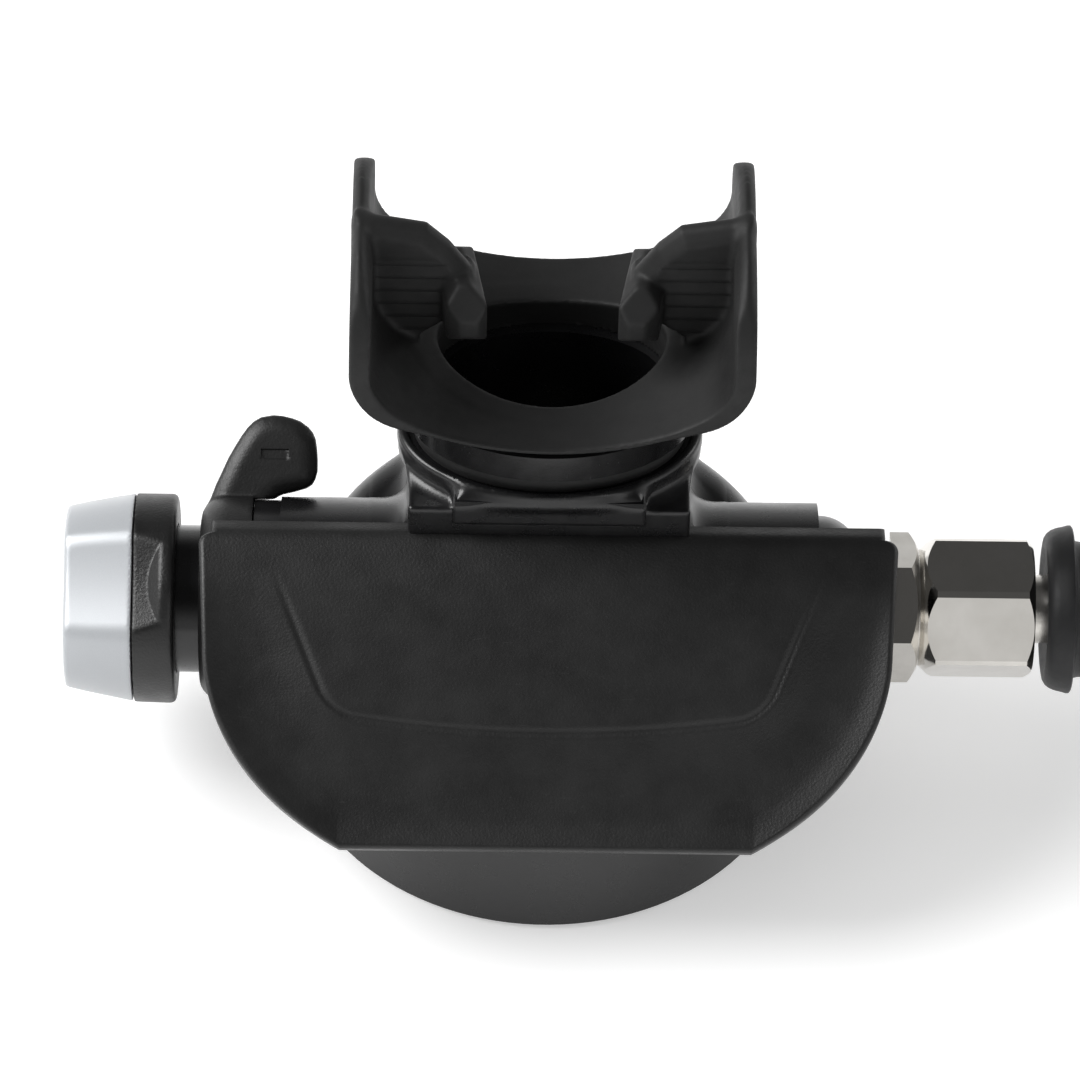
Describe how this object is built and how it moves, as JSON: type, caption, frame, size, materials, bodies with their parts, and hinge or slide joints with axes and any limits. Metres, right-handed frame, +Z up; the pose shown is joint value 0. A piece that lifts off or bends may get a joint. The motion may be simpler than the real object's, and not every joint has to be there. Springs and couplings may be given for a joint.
{
  "type": "scuba regulator set",
  "caption": "Diving regulator second stage with mouthpiece, adjusting knob, air-flow lever, exhaust deflector and looped low-pressure hose.",
  "frame": {"origin": "on the case's axis, in the plane that the purge cover rests on", "axes": "+Z up, out of the mouthpiece; +X along the valve line towards the hose; +Y to the nose side, away from the exhaust deflector"},
  "size_m": [0.3179, 0.16, 0.0941],
  "materials": {
    "shell_black": "moulded, low gloss",
    "tee_black": "satin grain",
    "soft_black": "matt silicone",
    "silver_plastic": "satin silver paint",
    "ring_black": "fine grain",
    "gland_black": "glossy",
    "chrome": "polished chrome plate",
    "satin_chrome": "satin chrome plate",
    "brass": "machined",
    "steel": "passivated",
    "white_plastic": "moulded",
    "silicone_clear": "translucent silicone",
    "nitrile": "matt",
    "hose_rubber": "fine fabric texture"
  },
  "bodies": {
    "case": {"case_body": "shell_black", "exhaust_seat": "shell_black", "exhaust_tee": "tee_black", "mouthpiece": "soft_black", "mouthpiece_clamp": "gland_black", "purge_cover": "ring_black", "purge_spring": "steel", "diaphragm_clamp_ring": "white_plastic", "diaphragm": "silicone_clear", "valve_tube": "satin_chrome", "jam_nut": "satin_chrome", "inlet_filter": "brass", "orifice": "chrome", "orifice_seal": "nitrile", "poppet_spring": "steel", "shaft_seals": "nitrile", "barrel_end_cap": "gland_black", "hose_stem": "satin_chrome", "stem_seal": "nitrile", "hose_ferrule": "chrome", "hose_protector": "soft_black", "hose": "hose_rubber", "hose_coil": "hose_rubber", "far_ferrule": "chrome", "first_stage_fitting": "satin_chrome", "fitting_seal": "nitrile"},
    "knob": {"knob_ring": "ring_black", "knob_cap": "silver_plastic", "knob_screw": "steel", "adjusting_screw": "brass"},
    "spring_carrier": {"spring_pad": "brass", "balance_chamber": "brass"},
    "poppet": {"poppet": "white_plastic", "seat_disc": "nitrile", "poppet_nut": "steel", "poppet_seal": "nitrile"},
    "demand_lever": {"demand_lever": "steel"},
    "purge_button": {"purge_button": "soft_black"},
    "diaphragm_plate": {"diaphragm_plate": "steel"},
    "air_flow_lever": {"venturi_lever": "tee_black", "venturi_sleeve": "ring_black"},
    "hose_nut": {"hose_nut": "chrome"},
    "exhaust_valve": {"exhaust_valve": "silicone_clear"}
  },
  "joints": [
    {"name": "purge_press", "type": "slide", "parent": "case", "child": "purge_button", "axis": [0, 0, 1], "range_m": [0, 0.002], "stiffness_N_per_m": 400, "springref_m": -0.0005, "deforming": ["purge_spring"]},
    {"name": "diaphragm_rise", "type": "slide", "parent": "case", "child": "diaphragm_plate", "axis": [0, 0, 1], "range_m": [0, 0.002], "deforming": ["diaphragm"]},
    {"name": "demand_lever_tilt", "type": "hinge", "parent": "case", "child": "demand_lever", "pos_m": [-0.008, 0, 0.0215], "axis": [0, -1, 0], "range_deg": [0, 8.9]},
    {"name": "poppet_open", "type": "slide", "parent": "case", "child": "poppet", "axis": [-1, 0, 0], "range_m": [0, 0.00078], "deforming": ["poppet_spring"]},
    {"name": "effort_knob", "type": "hinge", "parent": "case", "child": "knob", "pos_m": [-0.058, 0, 0.0277], "axis": [1, 0, 0], "range_deg": [0, 1080]},
    {"name": "spring_load", "type": "slide", "parent": "case", "child": "spring_carrier", "axis": [1, 0, 0], "range_m": [0, 0.00226], "deforming": ["poppet_spring"]},
    {"name": "air_flow_turn", "type": "hinge", "parent": "case", "child": "air_flow_lever", "pos_m": [-0.044, 0, 0.0277], "axis": [-1, 0, 0], "range_deg": [0, 50]},
    {"name": "hose_nut_spin", "type": "hinge", "parent": "case", "child": "hose_nut", "pos_m": [0.058, 0, 0.0277], "axis": [1, 0, 0], "continuous": true},
    {"name": "exhaust_open", "type": "slide", "parent": "case", "child": "exhaust_valve", "axis": [0, -0.2198, 0.9755], "range_m": [0, 0.001], "stiffness_N_per_m": 20, "springref_m": -0.0003}
  ],
  "couplings": [
    {"joint": "diaphragm_rise", "follows": "purge_press", "ratio": 1},
    {"joint": "demand_lever_tilt", "follows": "purge_press", "rad_per_m": 76.794},
    {"joint": "poppet_open", "follows": "purge_press", "ratio": 0.385},
    {"joint": "spring_load", "follows": "effort_knob", "m_per_rad": 0.00011937}
  ]
}
